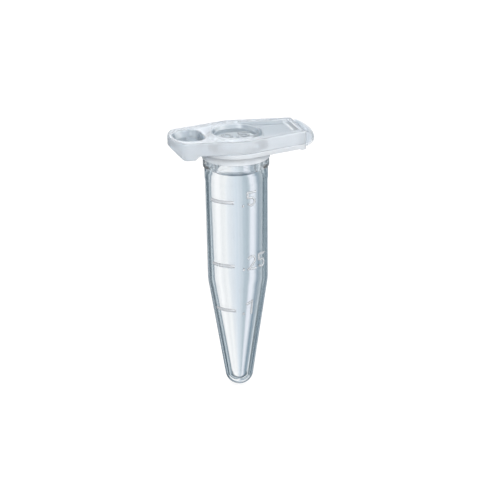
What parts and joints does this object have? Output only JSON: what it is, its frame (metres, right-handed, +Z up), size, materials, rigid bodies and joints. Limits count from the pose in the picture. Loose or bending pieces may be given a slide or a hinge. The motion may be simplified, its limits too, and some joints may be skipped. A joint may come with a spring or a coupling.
{
  "type": "microcentrifuge tube",
  "caption": "Small clear conical sample tube with raised volume marks and a closed snap lid on a folding strap hinge, with a thumb tab to open it.",
  "frame": {"origin": "on the tube's axis at the underside of the rim flange, where the tube hangs in a rack", "axes": "+Z up along the tube's axis, +X from the axis to the hinge, so the thumb tab is at -X and the volume marks face -Y"},
  "size_m": [0.0181, 0.0094, 0.0334],
  "materials": {
    "tube_plastic": "clear, glossy",
    "lid_plastic": "translucent, satin"
  },
  "bodies": {
    "tube": {"tube_wall": "tube_plastic", "rim_flange": "tube_plastic", "tongue_bar": "tube_plastic", "mark_half": "tube_plastic", "mark_quarter": "tube_plastic", "mark_tenth": "tube_plastic"},
    "strap": {"hinge_strap": "lid_plastic"},
    "lid": {"lid_plate": "lid_plastic", "lid_border": "lid_plastic", "lid_bar": "lid_plastic", "thumb_tab": "lid_plastic", "sealing_plug": "lid_plastic", "lid_numerals": "lid_plastic"}
  },
  "joints": [
    {"name": "strap_fold", "type": "hinge", "parent": "tube", "child": "strap", "pos_m": [0.0084, 0, 0.00028], "axis": [0, 1, 0], "range_deg": [0, 90]},
    {"name": "lid_fold", "type": "hinge", "parent": "strap", "child": "lid", "pos_m": [0.0084, 0, 0.00199], "axis": [0, 1, 0], "range_deg": [0, 90]}
  ],
  "couplings": [
    {"joint": "strap_fold", "follows": "lid_fold", "ratio": 1}
  ]
}
